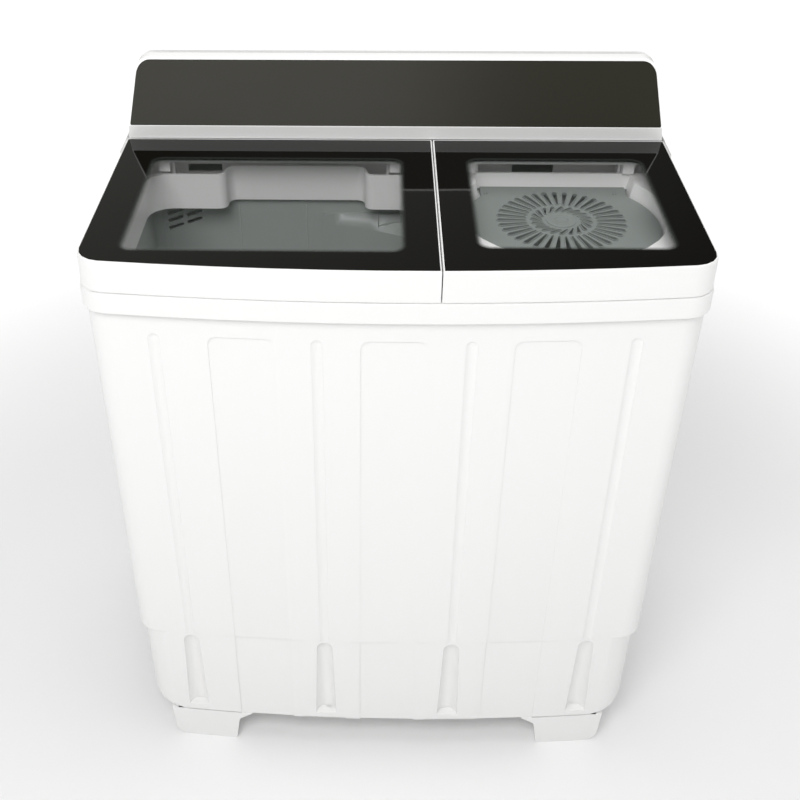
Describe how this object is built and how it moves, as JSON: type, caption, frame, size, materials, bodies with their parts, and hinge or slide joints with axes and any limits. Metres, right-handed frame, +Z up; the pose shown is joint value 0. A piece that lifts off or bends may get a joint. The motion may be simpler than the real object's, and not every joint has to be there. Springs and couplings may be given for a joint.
{
  "type": "twin tub washer",
  "caption": "Twin tub washing machine: a wash tub with a pulsator and a separate spinner under two glass lids, with a sloping touch panel behind them.",
  "frame": {"origin": "on the floor, under the middle of the machine's width and depth", "axes": "+Z up, -Y towards the person using it, +X to their right"},
  "size_m": [0.811, 0.4905, 1.028],
  "materials": {
    "white_abs": "glossy moulded plastic",
    "white_polypropylene": "satin moulded plastic",
    "grey_tub_polypropylene": "satin moulded plastic",
    "printed_glass": "tempered glass, printed black from behind round a smoked window",
    "fascia_acrylic": "glossy dark sheet",
    "translucent_grey_plastic": "translucent moulded plastic",
    "black_plastic": "moulded plastic",
    "black_rubber": "moulded rubber",
    "zinc_plated_steel": "zinc plated",
    "cast_aluminium": "as cast",
    "circuit_board": "lacquered laminate"
  },
  "bodies": {
    "machine": {"base": "white_abs", "foot_front_left": "white_abs", "foot_front_right": "white_abs", "foot_rear_left": "white_abs", "foot_rear_right": "white_abs", "cabinet": "white_abs", "rear_cover": "white_abs", "rear_cover_screw_1": "zinc_plated_steel", "rear_cover_screw_2": "zinc_plated_steel", "rear_cover_screw_3": "zinc_plated_steel", "rear_cover_screw_4": "zinc_plated_steel", "top_cover": "white_abs", "wash_hinge_pin_left": "zinc_plated_steel", "wash_hinge_pin_right": "zinc_plated_steel", "spin_hinge_pin_left": "zinc_plated_steel", "spin_hinge_pin_right": "zinc_plated_steel", "control_housing": "white_abs", "control_fascia": "fascia_acrylic", "control_back_cover": "white_abs", "control_board": "circuit_board", "wash_spout": "black_plastic", "spin_spout": "black_plastic", "inlet_valve": "black_plastic", "wash_tub": "grey_tub_polypropylene", "overflow_duct": "white_polypropylene", "filter_panel": "grey_tub_polypropylene", "gearbox": "cast_aluminium", "drive_belt": "black_rubber", "wash_motor": "cast_aluminium", "drive_bracket": "zinc_plated_steel", "spin_tub": "white_polypropylene", "spin_bellows": "black_rubber", "spin_bearing_housing": "cast_aluminium", "spin_motor": "cast_aluminium", "spin_motor_mount_1": "zinc_plated_steel", "spin_motor_mount_2": "zinc_plated_steel", "spin_motor_mount_3": "zinc_plated_steel", "drain_valve": "white_polypropylene", "drain_outlet": "white_polypropylene", "cord_gland": "black_rubber", "capacitor": "white_polypropylene", "lid_switch": "black_plastic"},
    "wash_lid": {"wash_lid_frame": "white_abs", "wash_lid_glass": "printed_glass"},
    "spin_lid": {"spin_lid_frame": "white_abs", "spin_lid_glass": "printed_glass"},
    "safety_lid": {"inner_lid": "translucent_grey_plastic"},
    "pulsator_rotor": {"pulsator": "white_polypropylene", "pulsator_shaft": "zinc_plated_steel", "pulsator_screw": "zinc_plated_steel"},
    "gearbox_input": {"gearbox_pulley": "cast_aluminium"},
    "wash_motor_rotor": {"wash_motor_shaft": "zinc_plated_steel", "motor_pulley": "cast_aluminium"},
    "spinner": {"spin_basket": "white_polypropylene", "spin_shaft": "zinc_plated_steel", "brake_drum": "cast_aluminium", "spin_motor_shaft": "zinc_plated_steel"},
    "brake": {"brake_lever": "zinc_plated_steel"},
    "drain_piston": {"drain_plunger": "black_rubber"},
    "filter": {"lint_filter": "white_polypropylene"}
  },
  "joints": [
    {"name": "wash_lid_hinge", "type": "hinge", "parent": "machine", "child": "wash_lid", "pos_m": [-0.17, 0.13, 0.896], "axis": [-1, 0, 0], "range_deg": [0, 97]},
    {"name": "spin_lid_hinge", "type": "hinge", "parent": "machine", "child": "spin_lid", "pos_m": [0.228, 0.13, 0.896], "axis": [-1, 0, 0], "range_deg": [0, 97]},
    {"name": "safety_lid_hinge", "type": "hinge", "parent": "machine", "child": "safety_lid", "pos_m": [0.235, 0.1075, 0.8655], "axis": [-1, 0, 0], "range_deg": [0, 78]},
    {"name": "pulsator_turn", "type": "hinge", "parent": "machine", "child": "pulsator_rotor", "pos_m": [-0.164, -0.027, 0.392], "axis": [0, 0, 1], "continuous": true},
    {"name": "gearbox_pulley_turn", "type": "hinge", "parent": "machine", "child": "gearbox_input", "pos_m": [-0.164, -0.027, 0.2625], "axis": [0, 0, 1], "continuous": true},
    {"name": "wash_motor_turn", "type": "hinge", "parent": "machine", "child": "wash_motor_rotor", "pos_m": [-0.023, 0.115, 0.2625], "axis": [0, 0, 1], "continuous": true},
    {"name": "spinner_turn", "type": "hinge", "parent": "machine", "child": "spinner", "pos_m": [0.235, -0.008, 0.42], "axis": [0, 0, 1], "continuous": true},
    {"name": "brake_swing", "type": "hinge", "parent": "machine", "child": "brake", "pos_m": [0.308, -0.07, 0.264], "axis": [0, 0, 1], "range_deg": [0, 2.13]},
    {"name": "drain_lift", "type": "slide", "parent": "machine", "child": "drain_piston", "axis": [0, 0, 1], "range_m": [0, 0.008]},
    {"name": "filter_lift", "type": "slide", "parent": "machine", "child": "filter", "axis": [0, 0, 1], "range_m": [0, 0.04]}
  ],
  "couplings": [
    {"joint": "safety_lid_hinge", "follows": "spin_lid_hinge", "ratio": 0.8},
    {"joint": "brake_swing", "follows": "spin_lid_hinge", "ratio": 0.0216},
    {"joint": "gearbox_pulley_turn", "follows": "pulsator_turn", "ratio": 4},
    {"joint": "wash_motor_turn", "follows": "pulsator_turn", "ratio": 12}
  ]
}
